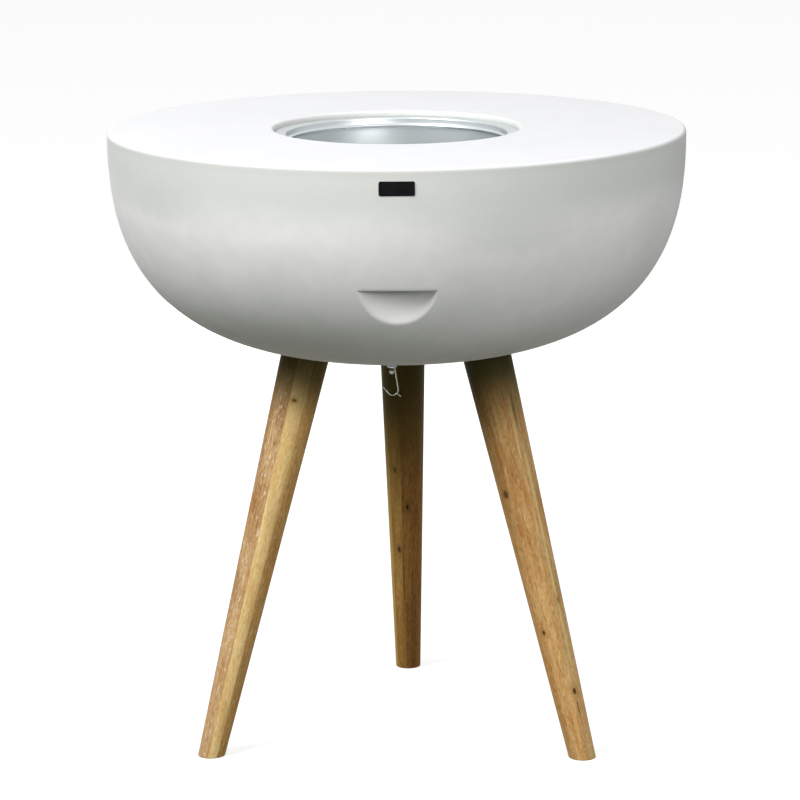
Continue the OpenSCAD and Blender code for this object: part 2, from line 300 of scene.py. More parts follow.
def concrete(name, look):
    g = concreteGrain
    mix = Recipe(name, IOR=1.45)
    x, y, z = mix.parts(mix.place)
    cloud = mix.noise(mix.place, look["cloudScale"], 4, 0.55, 0.15)
    patch = mix.noise(mix.place, look["patchScale"], 3, 0.5, 0.2)
    mottle = mix.noise(mix.place, g["mottle"], 5, 0.62)
    grit = mix.noise(mix.place, g["grit"], 2, 0.7)
    speck = mix.cells(mix.place, g["speck"])
    poreSize = mix.step(mix.noise(mix.place, g["poreSpread"], 2), 0.54, 0.74, 0.0, g["poreLargest"])
    pore = mix.limit((poreSize - mix.cells(mix.place, g["pore"])) * g["poreEdge"])
    clouded = mix.step(cloud, 0.3, 0.7)
    colour = mix.mix(clouded, mix.tint(look["dark"]), mix.tint(look["light"]))
    colour = mix.painted(colour, mix.step(patch, 0.42, 0.7) * look["patchShare"], look["patch"])
    if "layer" in look:
        layers = mix.noise(mix.moved(mix.place, Scale=(1.2, 1.2, g["layers"])), 1.0, 3, 0.6)
        colour = mix.painted(colour, mix.step(layers, 0.45, 0.75) * look["layerShare"], look["layer"])
    colour = mix.painted(colour, mix.step(mottle, 0.36, 0.68) * look["mottle"], look["patch"])
    flow = (cloud - 0.5) * look["drift"]
    # painted shade: darker bands by height, on the side just below the top and, on the bowl, towards its
    # underside
    for low, high, share, tone in look["shadeLevels"]:
        colour = mix.painted(colour, mix.step(z + flow, low, high) * share, tone)
    for angle, height, wide, tall, share in look["stains"]:
        east, north = ray(angle)
        behind = mix.step(x * north - y * east, 0.1, 0.0)
        aside = (x * east + y * north + flow) / wide
        spot = aside ** 2 + ((z - height + flow) / tall) ** 2 + behind * 9
        colour = mix.painted(colour, mix.step(spot + (patch - 0.5) * 1.4, 1.9, -0.3) * share, look["stain"])
    # painted shade under the grip's upper edge, where its overhang shades the recess
    for top, deep, half, east, west, share in look["gripShades"]:
        under = mix.step(z, (x / half) ** 2 * deep + (top - deep), top) * mix.step(z, top + 0.8 * mm, top)
        under = under * mix.step(x, east, west) * mix.step(y, 0.0, -0.1)
        under = under * mix.step(mix.sum("ABSOLUTE", x), half, half * 0.9)
        colour = mix.painted(colour, under * share, look["corner"])
    colour = mix.painted(colour, mix.step(grit, 0.35, 0.75) * g["gritShare"], look["grit"])
    colour = mix.painted(colour, mix.step(speck, 0.16, 0.05) * g["gritShare"], look["grit"])
    colour = mix.painted(colour, pore * g["poreShare"], look["pore"])
    roughness = g["roughness"] + clouded * 0.12 + grit * 0.12
    height = mix.step(grit, 0.2, 0.8) * 0.25 + patch * 0.8 - pore * 2.2
    return mix.finish(colour, roughness, mix.bump(height, g["depth"], 0.7))


# shadeLevels: painted shade, between two heights the tone goes over to a darker one, by a share: below the
# top's edge, and on the bowl towards its greenish underside
# stains: angle round from the front, height, half width, half height and share
# gripShades: painted shade under the grip's upper edge on the front, with its top, depth, half width,
# where it ends and where it is full across, and its share
rimShadeTone = (0.655, 0.67, 0.645)
deckLook = {
    "light": (0.781, 0.785, 0.8), "dark": (0.757, 0.762, 0.777), "cloudScale": 5.0, "drift": 0.0,
    "patch": (0.734, 0.739, 0.75), "patchScale": 17.0, "patchShare": 0.3, "mottle": 0.15,
    "grit": (0.64, 0.64, 0.62), "pore": (0.42, 0.42, 0.4),
    "shadeLevels": [(0.9697, 0.965, 1.0, rimShadeTone)], "stains": [], "gripShades": []}
bowlLook = {
    "light": (0.905, 0.905, 0.9), "dark": (0.87, 0.875, 0.865), "cloudScale": 4.5, "drift": 0.05,
    "patch": (0.76, 0.77, 0.75), "patchScale": 15.0, "patchShare": 0.3, "mottle": 0.3,
    "layer": (0.77, 0.78, 0.765), "layerShare": 0.25,
    "grit": (0.6, 0.61, 0.59), "pore": (0.32, 0.33, 0.31),
    "shadeLevels": [(0.86, 0.93, 0.885, rimShadeTone), (0.745, 0.655, 0.21, (0.66, 0.675, 0.62))],
    "stain": (0.6, 0.615, 0.585),
    "stains": [(20, 0.875, 0.1, 0.04, 0.45), (-24, 0.79, 0.06, 0.05, 0.12), (5, 0.9, 0.05, 0.02, 0.15),
               (62, 0.83, 0.05, 0.06, 0.25), (-52, 0.9, 0.08, 0.02, 0.3), (150, 0.86, 0.08, 0.04, 0.4),
               (215, 0.82, 0.07, 0.05, 0.35), (60, 0.715, 0.16, 0.06, 0.28)],
    "corner": (0.16, 0.17, 0.15), "gripShades": [(0.786, 0.016, 0.061, 0.06, -0.01, 0.8)]}
deckConcrete = concrete("deckConcrete", deckLook)
bowlConcrete = concrete("bowlConcrete", bowlLook)


metalGrain = {"lines": 2600, "broad": 60, "smudge": 16, "haze": 700, "scratch": 5200}


def turnedSteel(name, look):
    # satin sheet with fine turned lines about the bucket's axis
    mix = Recipe(name, Metallic=1.0)
    x, y, z = mix.parts(mix.place)
    radius = mix.sum("SQRT", x * x + y * y)
    east = x / radius
    north = y / radius
    fine = metalGrain["lines"]
    lines = mix.noise(mix.joined(radius * fine + east, north, z * fine), 1.0, 3, 0.65)
    wide = metalGrain["broad"]
    broad = mix.noise(mix.joined(radius * wide + east * 3, north * 3, z * wide), 1.0, 2, 0.5)
    smudge = mix.noise(mix.place, metalGrain["smudge"], 3, 0.5)
    colour = mix.mix(lines * 0.5 + broad * 0.3, mix.tint(look["dark"]), mix.tint(look["light"]))
    roughness = look["roughness"] + (lines - 0.5) * 0.16 + (smudge - 0.5) * 0.1
    return mix.finish(colour, roughness, mix.bump(lines + broad * 0.5, 0.00003, 0.6))


def brightMetal(name, look):
    mix = Recipe(name, Metallic=1.0)
    haze = mix.noise(mix.place, metalGrain["haze"], 3, 0.6)
    scratch = mix.noise(mix.moved(mix.place, Scale=(1, 1, 0.08)), metalGrain["scratch"], 2, 0.5)
    colour = mix.mix(haze, mix.tint(look["dark"]), mix.tint(look["light"]))
    roughness = look["roughness"] + (haze - 0.5) * look["spread"] + mix.step(scratch, 0.62, 0.75) * 0.1
    return mix.finish(colour, roughness, mix.bump(haze * 0.6 + scratch * 0.4, 0.00002, look["bump"]))


def matteGrain(name, look):
    # moulded black, rubber and foam
    mix = Recipe(name, Specular_IOR_Level=look["gloss"])
    dark = mix.tint(look["dark"])
    grain = mix.noise(mix.place, look["grainScale"], 3, 0.6)
    cell = mix.cells(mix.place, look["cellScale"])
    cloud = mix.noise(mix.place, look["cloudScale"], 2, 0.5)
    colour = mix.mix(mix.step(cloud + (grain - 0.5) * 0.5, 0.3, 0.7), dark, mix.tint(look["light"]))
    colour = mix.mix(mix.step(cell, 0.35, 0.6) * look["cellShare"], colour, dark)
    roughness = look["roughness"] + (grain - 0.5) * 0.2
    relief = mix.bump(grain * 0.5 + cell * look["cellShare"], look["depth"], 0.8)
    return mix.finish(colour, roughness, relief)


# the bucket steel's grey is its own, its blue-green tint is a painted reflection of its surroundings
bucketSteel = turnedSteel("bucketSteel", {
    "light": (0.74, 0.775, 0.785), "dark": (0.6, 0.635, 0.645), "roughness": 0.36})
# the hook steel's dark greenish colour is a painted reflection of dark green surroundings
hookSteel = brightMetal("hookSteel", {
    "light": (0.29, 0.31, 0.25), "dark": (0.18, 0.2, 0.15), "roughness": 0.2, "spread": 0.12, "bump": 0.4})
zincSteel = brightMetal("zincSteel", {
    "light": (0.66, 0.67, 0.68), "dark": (0.5, 0.51, 0.53), "roughness": 0.34, "spread": 0.25, "bump": 0.8})
insertZinc = brightMetal("insertZinc", {
    "light": (0.7, 0.66, 0.52), "dark": (0.56, 0.53, 0.42), "roughness": 0.36, "spread": 0.25, "bump": 0.8})
badgeBlack = matteGrain("badgeBlack", {
    "light": (0.006, 0.006, 0.007), "dark": (0.003, 0.003, 0.0035), "roughness": 0.5, "gloss": 0.06,
    "grainScale": 2600, "cellScale": 1800, "cloudScale": 60, "cellShare": 0.1, "depth": 0.00003})
gasketRubber = matteGrain("gasketRubber", {
    "light": (0.03, 0.03, 0.031), "dark": (0.016, 0.016, 0.017), "roughness": 0.7, "gloss": 0.3,
    "grainScale": 1500, "cellScale": 900, "cloudScale": 40, "cellShare": 0.15, "depth": 0.00006})
foamWhite = matteGrain("foamWhite", {
    "light": (0.86, 0.85, 0.8), "dark": (0.7, 0.68, 0.62), "roughness": 0.85, "gloss": 0.3,
    "grainScale": 700, "cellScale": 260, "cloudScale": 14, "cellShare": 0.5, "depth": 0.0004})


deckSize = {"radius": 450.0, "top": 970.0, "rim": 14.0, "rimRound": 5.5, "under": 946.0, "plug": 435.0,
            "opening": 191.5, "openingRound": 5.0, "ledge": 959.3, "ledgeRadius": 177.5}
bowlSize = {"radius": 450.0, "depth": 351.0, "side": 3.0, "floor": 2.56, "wall": 14.0, "seat": 26.0}
seam = deckSize["top"] - deckSize["rim"]


def bowlRadius(height, inset=0.0):
    below = (deckSize["top"] - height) / (bowlSize["depth"] - inset)
    if below >= 1:
        return 0.0
    return (bowlSize["radius"] - inset) * (1 - below ** bowlSize["floor"]) ** (1 / bowlSize["side"])


def makeDeck():
    s = deckSize
    shoulder = s["top"] - s["rimRound"]
    lip = s["top"] - s["openingRound"]
    inner = s["opening"]
    ledge = s["ledge"]
    ledgeR = s["ledgeRadius"]
    # rows close to the edges keep their shading crisp
    outline = arc(inner + s["openingRound"], lip, s["openingRound"], 90, 180, 8)
    outline += [(inner, lip - 0.6), (inner, ledge + 0.3), (inner, ledge), (inner - 0.5, ledge)]
    outline += [(ledgeR + 0.9, ledge), (ledgeR + 0.4, ledge), (ledgeR, ledge - 0.4), (ledgeR, ledge - 1.0)]
    outline += [(ledgeR, s["under"]), (s["plug"], s["under"]), (s["plug"], seam)]
    outline += [(bowlRadius(z), z) for z in (seam + (shoulder - seam) * i / 4 for i in range(4))]
    outline += arc(s["radius"] - s["rimRound"], shoulder, s["rimRound"], 0, 90, 10)
    outline += [(s["radius"] - s["rimRound"] - 1.5, s["top"]), (inner + s["openingRound"] + 1.5, s["top"])]
    dress(turned("topDeck", outline, ((45, 36),)), "table", "deck_concrete", deckConcrete, "top_deck")


makeDeck()
print("deck made")


legPlace = {"splay": 15.5, "circle": 336.0, "turn": -2.3, "topRadius": 37.5, "footRadius": 20.75,
            "topRound": 1.2, "footRound": 1.4, "mouth": 642.36, "seat": 672.76, "flange": 690.76,
            "socketGap": 0.3, "socketFrom": 582.36, "boss": 49.8, "insertHole": 8.05, "boltHole": 5.05,
            "boltDepth": 55.0, "below": 30.0,
            "angles": {"FrontLeft": 210, "FrontRight": 330, "Back": 90},
            "nodes": {"FrontLeft": "leg_front_left", "FrontRight": "leg_front_right", "Back": "leg_back"}}


def legTurn(side):
    about = Matrix.Rotation(math.radians(legPlace["angles"][side] + legPlace["turn"]), 4, "Z")
    lean = Matrix.Rotation(math.radians(-legPlace["splay"]), 4, "Y")
    return about @ Matrix.Translation((legPlace["circle"], 0, 0)) @ lean


# the band is where the bowl's rows are led round the grip's upper edge
grip = {"upper": 786.0, "axis": 446.2, "radius": 66.0, "lean": 5.0, "wall": 12.0, "edgeRound": 1.3,
        "innerRound": 3.0, "softness": 3.5, "softenOver": 18.0, "bandTop": 787.3, "bandLow": 783.0,
        "bandRows": 14, "bandFade": 1.6, "lowest": 715.0, "reach": 0.2, "form": (-200, 60)}


def gripWall(side, height):
    # distance from the bowl's axis to the grip's back wall, along a direction
    lean = math.radians(grip["lean"])
    c = math.cos(lean)
    axis = grip["axis"] + (grip["upper"] - height) * math.tan(lean)
    spread = math.sin(side) ** 2 + (c * math.cos(side)) ** 2
    along = axis * c * c * math.cos(side)
    left = along * along - spread * ((axis * c) ** 2 - grip["radius"] ** 2)
    return (along - math.sqrt(left)) / spread if left > 0 else 1e6


def faceRadius(side, height):
    # the bowl's face with the grip sunk into it, its edge softened
    outer = bowlRadius(height)
    wall = gripWall(side, height)
    soft = grip["softness"] * min(max((grip["upper"] - height) / grip["softenOver"], 0.1), 1)
    near = max(soft - abs(outer - wall), 0) / soft
    return min(outer, wall) - near * near * soft / 4


def bandHeight(row):
    return grip["bandTop"] + (grip["bandLow"] - grip["bandTop"]) * row / (grip["bandRows"] - 1)


def bandPoint(side, row):
    # a point on the way from the bowl's face, under the grip's upper edge, to its back wall
    upper = grip["upper"]
    outer = bowlRadius(upper)
    back = faceRadius(side, upper - grip["innerRound"])
    share = min(max((outer - gripWall(side, upper - grip["innerRound"])) / grip["bandFade"], 0), 1)
    share = share * share * (3 - 2 * share)
    edge = min(grip["edgeRound"], 0.3 * (outer - back))
    inner = min(grip["innerRound"], 0.3 * (outer - back))
    path = arc(outer - edge, upper + edge, edge, 0, -90, 5)
    path += [(outer - edge + (back + inner - outer + edge) * i / 3, upper) for i in (1, 2)]
    path += arc(back + inner, upper - inner, inner, 90, 180, 5)
    r, z = path[row]
    plainZ = bandHeight(row)
    return bowlRadius(plainZ) * (1 - share) + r * share, plainZ * (1 - share) + z * share


def sinkGrips(bowl):
    band = [bandHeight(row) for row in range(grip["bandRows"])]
    for vertex in bowl.data.vertices:
        x, y, z = vertex.co / mm
        side = math.atan2(x, abs(y))
        if abs(side) >= grip["reach"] or not grip["lowest"] < z < band[0] + 0.1:
            continue
        if z > band[-1] - 0.1:
            newR, newZ = bandPoint(side, min(range(len(band)), key=lambda row: abs(band[row] - z)))
        else:
            newR, newZ = faceRadius(side, z), z
        r = math.hypot(x, y)
        vertex.co = Vector((x * newR / r, y * newR / r, newZ)) * mm


badgeSize = {"width": 52.0, "height": 21.0, "thick": 2.2, "corner": 2.5, "faceRound": 0.45, "middle": 941.0,
             "seat": -448.15, "gap": 0.3, "pocket": 12, "pinHole": 1.55, "pinAt": 16, "pinDepth": 8.5}


def badgeForm(name, gap, thick):
    # a rounded plate standing on the pocket's floor
    s = badgeSize
    deselectAll()
    bpy.ops.mesh.primitive_cube_add(size=1, location=(0, (s["seat"] - thick / 2) * mm, s["middle"] * mm))
    plate = named(name)
    plate.scale = ((s["width"] + 2 * gap) * mm, thick * mm, (s["height"] + 2 * gap) * mm)
    settle(plate)
    edit(plate, "DESELECT")
    bpy.ops.mesh.select_mode(type="EDGE")
    leave()
    for edge in plate.data.edges:
        a, b = (plate.data.vertices[i].co for i in edge.vertices)
        edge.select = abs(a.y - b.y) > thick * mm * 0.9
    bpy.ops.object.mode_set(mode="EDIT")
    bpy.ops.mesh.bevel(offset=(s["corner"] + gap) * mm, segments=8, affect="EDGES")
    leave()
    return plate


# rows of the bowl's skin: far apart down to "even", closer down to the band, "faceRows" of them below it,
# and from "low" to the angle "end" they follow the curve of the underside, as the cavity's rows all do
bowlRows = {"even": 800.0, "close": 2.1, "last": 788.2, "face": 782.0, "faceStep": 1.5, "faceRows": 40,
            "low": 722.0, "end": 88.0, "innerStart": 2.2, "innerTurn": 85.8}


def makeSkin():
    top, depth = deckSize["top"], bowlSize["depth"]
    r = bowlRows
    heights = [seam - (seam - r["even"]) * i / 26 for i in range(26)]
    heights += [r["even"] - r["close"] * i for i in range(6)] + [r["last"]]
    heights += [bandHeight(row) for row in range(grip["bandRows"])]
    heights += [r["face"] - r["faceStep"] * i for i in range(r["faceRows"])]
    start = math.asin((top - r["low"]) / depth)
    end = math.radians(r["end"])
    heights += [top - depth * math.sin(start + (end - start) * i / 34) for i in range(35)]
    outline = [(0, seam)] + [(bowlRadius(z), z) for z in heights]
    outline += [(bowlSize["seat"], top - depth), (0, top - depth)]
    bowl = turned("bowlShell", outline, ((24, 100), (156, 104)), start=-78, closed=False)
    sinkGrips(bowl)
    return bowl


def makeCavity():
    # everything that is taken out of the bowl: its inside, round the bosses and grips, and the holes
    s, top = bowlSize, deckSize["top"]
    angles = [math.radians(bowlRows["innerStart"] + bowlRows["innerTurn"] * i / 40) for i in range(41)]
    heights = [top - (s["depth"] - s["wall"]) * math.sin(angle) for angle in angles]
    floor = top - s["depth"] + s["wall"]
    outline = [(0, seam + 1)] + [(bowlRadius(z, s["wall"]), z) for z in heights]
    outline += [(s["seat"], floor), (0, floor)]
    cavity = turned("cavity", outline, ((45, 15),), closed=False)
    low, seat, flange = legPlace["socketFrom"], legPlace["seat"], legPlace["flange"]
    for side in legPlace["angles"]:
        cut(cavity, rod("boss", legPlace["boss"], low, flange, legTurn(side)))
    wallTop = grip["upper"] + grip["wall"]
    for turn in (0, 180):
        lean = Matrix.Rotation(math.radians(turn), 4, "Z") @ Matrix.Translation((0, -grip["axis"], wallTop))
        lean = lean @ Matrix.Rotation(math.radians(-grip["lean"]), 4, "X")
        form = rod("gripForm", grip["radius"] + grip["wall"], *grip["form"], lean, 96)
        edit(form)
        saw(wallTop, clear_outer=True)
        leave()
        cut(cavity, form)
    for side in legPlace["angles"]:
        turn = legTurn(side)
        socket = legPlace["topRadius"] + legPlace["socketGap"]
        cut(cavity, rod("socket", socket, low, seat, turn, 128), "UNION")
        cut(cavity, rod("insertHole", legPlace["insertHole"], seat - 1, flange + 1, turn, 48), "UNION")
    b = badgeSize
    cut(cavity, badgeForm("badgePocket", b["gap"], b["pocket"]), "UNION")
    for x in (-b["pinAt"], b["pinAt"]):
        place = Matrix.Translation((x, b["seat"], b["middle"])) @ Matrix.Rotation(math.radians(-90), 4, "X")
        cut(cavity, rod("pinHole", b["pinHole"], -1, b["pinDepth"], place, 24), "UNION")
    f = fastening
    place = Matrix.Translation((hookSize["x"], 0, 0))
    cut(cavity, rod("studHole", f["studHole"], f["underside"] - 4, f["floorIn"] + 4, place, 32), "UNION")
    return cavity


# the hook's sizes come before it, because the bowl's floor has the hole for its stud
hookSize = {"x": -10.0, "eye": 587.6, "eyeRadius": 3.58, "eyeFrom": -10.0, "eyeTurn": 280.0, "wire": 1.0,
            "turnRadius": 2.0, "shankX": 4.8, "lean": 8.5, "shank": 32.8, "bend": 8.7, "tipAngle": 50.0,
            "tip": 14.5, "spurAt": -41.0, "spur": 8.0, "spurWire": 0.85, "spurSunk": 0.3}
fastening = {"stud": 2.5, "studHole": 2.75, "core": 2.12, "pitch": 0.8, "past": 2.0, "flats": 8.0,
             "nut": 4.0, "chamfer": 0.62, "dome": 6.0, "washer": 7.5, "washerThick": 1.2, "washerEdge": 0.15,
             "floorIn": 633.0, "underside": 619.0, "capTop": 586.52, "eyeWasher": 588.68}


def makeBowl():
    bowl = makeSkin()
    cut(bowl, makeCavity())
    smooth(bowl, 38)
    dress(bowl, "table", "bowl_concrete", bowlConcrete, "bowl_shell")


makeBowl()
print("bowl made")


def makeBadge():
    s = badgeSize
    plate = badgeForm("badgePlate", 0, s["thick"])
    face = (s["seat"] - s["thick"]) * mm
    edit(plate)
    selectFaces(plate, lambda middle, normal: normal.y < -0.9 and abs(middle.y - face) < 1e-5)
    bpy.ops.mesh.bevel(offset=s["faceRound"] * mm, segments=4, affect="EDGES")
    leave()
    tidy(plate, 40)
    dress(plate, "table", "badge_black", badgeBlack, "badge_plate")


makeBadge()


bucketSize = {"rimRadius": 190.0, "rim": 962.0, "rimRound": 0.35, "mouth": 172.5, "mouthRound": 3.0,
              "depth": 200.0, "sheet": 1.2, "draft": 2.5, "corner": 24.0, "lip": 1.4, "lipRound": 0.2,
              "bead": 949.0, "beadHigh": 2.0, "beadHalf": 3.56, "rows": (795, 815, 845, 880, 915, 940)}


def makeBucket():
    s = bucketSize
    rim, t, wide = s["rim"], s["sheet"], s["rimRadius"]
    bend, edge, lipRound = s["mouthRound"], s["rimRound"], s["lipRound"]
    floor = rim - s["depth"]
    lipZ = rim - t - s["lip"]
    lean = math.tan(math.radians(s["draft"]))

    def side(z):
        return s["mouth"] - (rim - z) * lean

    def bead(direction):
        half, high = s["beadHalf"] * direction, s["beadHigh"]
        return [(i / 10 * half, high * math.cos(math.pi / 2 * i / 10) ** 2) for i in range(-10, 11)]

    cornerZ = floor + s["corner"]
    cornerR = side(cornerZ) - s["corner"]
    outline = [(0, floor - t), (90, floor - t), (cornerR - 2, floor - t)]
    outline += arc(cornerR, cornerZ, s["corner"] + t, -90, 0, 16)
    outline += [(side(z) + t, z) for z in s["rows"]]
    outline += [(side(s["bead"] + dz) + t - high, s["bead"] + dz) for dz, high in bead(1)]
    outline += arc(s["mouth"] + bend, rim - bend, bend - t, 180 + s["draft"], 90, 6)
    outline += [(wide - t, rim - t), (wide - t, lipZ + lipRound), (wide - t + lipRound, lipZ)]
    outline += [(wide - lipRound, lipZ), (wide, lipZ + lipRound)]
    outline += arc(wide - edge, rim - edge, edge, 0, 90, 4)
    outline += [(wide - 1.2, rim), (s["mouth"] + bend + 1.2, rim)]
    outline += arc(s["mouth"] + bend, rim - bend, bend, 90, 180 + s["draft"], 10)
    outline += [(side(s["bead"] + dz) - high, s["bead"] + dz) for dz, high in bead(-1)]
    outline += [(side(z), z) for z in reversed(s["rows"])]
    outline += [(side(cornerZ + 1.5), cornerZ + 1.5)] + arc(cornerR, cornerZ, s["corner"], 0, -90, 16)
    outline += [(cornerR - 2, floor), (90, floor), (0, floor)]
    bucket = turned("iceBucket", outline, ((45, 30),), closed=False)
    dress(bucket, "bucket", "bucket_steel", bucketSteel, "ice_bucket")


makeBucket()
print("bucket made")


# noises that run along a leg: stretch, scale, detail, roughness and twist
woodGrain = {"bend": (0.16, 26, 3, 0.5), "wander": (0.09, 20, 4, 0.55, 0.3),
             "figure": (0.08, 60, 5, 0.62, 0.6), "cloud": (0.4, 22, 3, 0.55, 0.5),
             "blush": (0.4, 34, 3, 0.6, 0.4), "dash": (0.22, 430, 3, 0.7), "fibre": (0.05, 900, 3, 0.65),
             "pore": (0.06, 1300, 2, 0.5)}


def wood(name, side, look):
    mix = Recipe(name, IOR=1.46, Specular_IOR_Level=0.05)
    angle = legPlace["angles"][side] + legPlace["turn"]
    foot = Vector((*ray(angle), 0)) * legPlace["circle"] * mm
    turn = (0, math.radians(-legPlace["splay"]), math.radians(angle))
    x, y, s = mix.parts(mix.moved(mix.place, "TEXTURE", Location=foot, Rotation=turn))
    radius = mix.sum("SQRT", x * x + y * y) + 1e-5

    def grained(kind, offset=0.0):
        stretch, *settings = woodGrain[kind]
        return mix.noise(mix.joined(x + offset, y, s * stretch), *settings)

    def along(angle):
        # how far the surface point lies towards an angle about the leg's axis, from -1 to 1
        east, north = ray(angle)
        return (x * east + y * north) / radius

    def across(angle):
        # distance along the surface from an angle's line
        east, north = ray(angle)
        return y * east - x * north

    def spot(angle, height, wide, tall, wander):
        # 0 in the middle of a mark, 1 at its edge
        aside = across(angle) / (wide * mm) + (bend - 0.5) * wander
        up = (s - height * mm) / (tall * mm)
        return mix.sum("SQRT", aside ** 2 + up ** 2 + mix.step(along(angle), 0.1, -0.1) * 50)

    bend = grained("bend")
    knots = 0.0
    halo = 0.0
    for angle, height, wide, tall, depth in look["knots"]:
        q = spot(angle, height, wide, tall, 0.7)
        knots = mix.sum("MAXIMUM", knots, mix.step(q, 1.15, 0.5) * depth)
        halo = mix.sum("MAXIMUM", halo, mix.step(q, 3.2, 0.9) * depth)
    # each stave is cut from another place in the tree
    staves = look["staves"]
    splits = [mix.step(along(angle), edge - 0.006, edge + 0.006) for angle, edge, light, dark in staves]
    shift = 0.0
    for i, split in enumerate(splits):
        shift = split * (0.37 + 0.21 * i) + shift
    east, north = ray(look["ringAngle"])
    ringPlace = (x * east + y * north + shift) * look["rings"]
    ring = mix.sum("FRACT", ringPlace + grained("wander", shift) * look["wander"] + halo * 1.3)
    late = mix.step(ring, 0.3, 0.93) * mix.step(ring, 1.0, 0.96)
    figure = grained("figure", shift)
    cloud = grained("cloud", shift)
    fibre = grained("fibre")
    dash = grained("dash", shift)
    blush = mix.step(grained("blush", shift + 5), 0.46, 0.64)
    pores = mix.step(grained("pore", 7), 0.6, 0.7)
    fleck = mix.noise(mix.joined(x + 3, y, s * 0.3), look["fleckScale"], 2, 0.5)
    tone = mix.step(figure, 0.34, 0.68) * 0.45 + mix.step(cloud, 0.34, 0.66) * 0.25
    tone = mix.limit(tone + mix.step(dash, 0.33, 0.67) * 0.5 - 0.1)
    light, dark = look["core"]
    colour = mix.mix(tone, mix.tint(dark), mix.tint(light))
    for split, (angle, edge, light, dark) in zip(splits, staves):
        colour = mix.mix(split, colour, mix.mix(tone, mix.tint(dark), mix.tint(light)))
    colour = mix.dyed(colour, blush * look["blush"], look["blushTone"])
    colour = mix.dyed(colour, late * look["ringShare"], look["lateTone"])
    for angle, low, high, bottom, top, paint, share in look["strips"]:
        d = across(angle) / radius
        inside = mix.step(d, low - 0.02, low + 0.02) * mix.step(d, high + 0.02, high - 0.02)
        inside = inside * mix.step(along(angle), 0.0, 0.1)
        inside = inside * mix.step(s, bottom * mm, (bottom + 60) * mm)
        inside = inside * mix.step(s, top * mm, (top - 60) * mm)
        colour = mix.painted(colour, inside * share, paint)
    for angle, height, wide, tall, paint, share in look["streaks"]:
        streak = mix.step(spot(angle, height, wide, tall, 1.8), 1.3, 0.2)
        colour = mix.painted(colour, streak * share, paint)
    colour = mix.dyed(colour, mix.step(fibre, 0.62, 0.4) * 0.4, look["fibre"])
    colour = mix.dyed(colour, mix.step(dash, 0.45, 0.3) * 0.6, look["fibre"])
    colour = mix.dyed(colour, pores * 0.5, look["pore"])
    flecked = look["fleckShare"] * (1 - splits[0]) + look["fleckElse"] * splits[0]
    colour = mix.painted(colour, mix.step(fleck, 0.58, 0.7) * flecked, look["fleck"])
    colour = mix.painted(colour, halo * 0.6, look["halo"])
    colour = mix.painted(colour, knots, look["knot"])
    for angle, edge, light, dark in staves:
        glue = mix.step(mix.sum("ABSOLUTE", along(angle) - edge), 0.014, 0.003)
        colour = mix.painted(colour, glue * 0.25, look["halo"])
    # painted shade: each leg darkens towards its top, where the bowl's shadow falls on it
    paintedShade = mix.step(s, look["paintedShadeLow"], look["paintedShadeHigh"]) * look["paintedShade"]
    colour = mix.painted(colour, paintedShade, look["paintedShadeTone"])
    height = fibre * 0.5 - pores * 0.8 - knots * 0.6 + late * 0.3
    return mix.finish(colour, 0.5 + fibre * 0.16, mix.bump(height, 0.00012, 0.75))
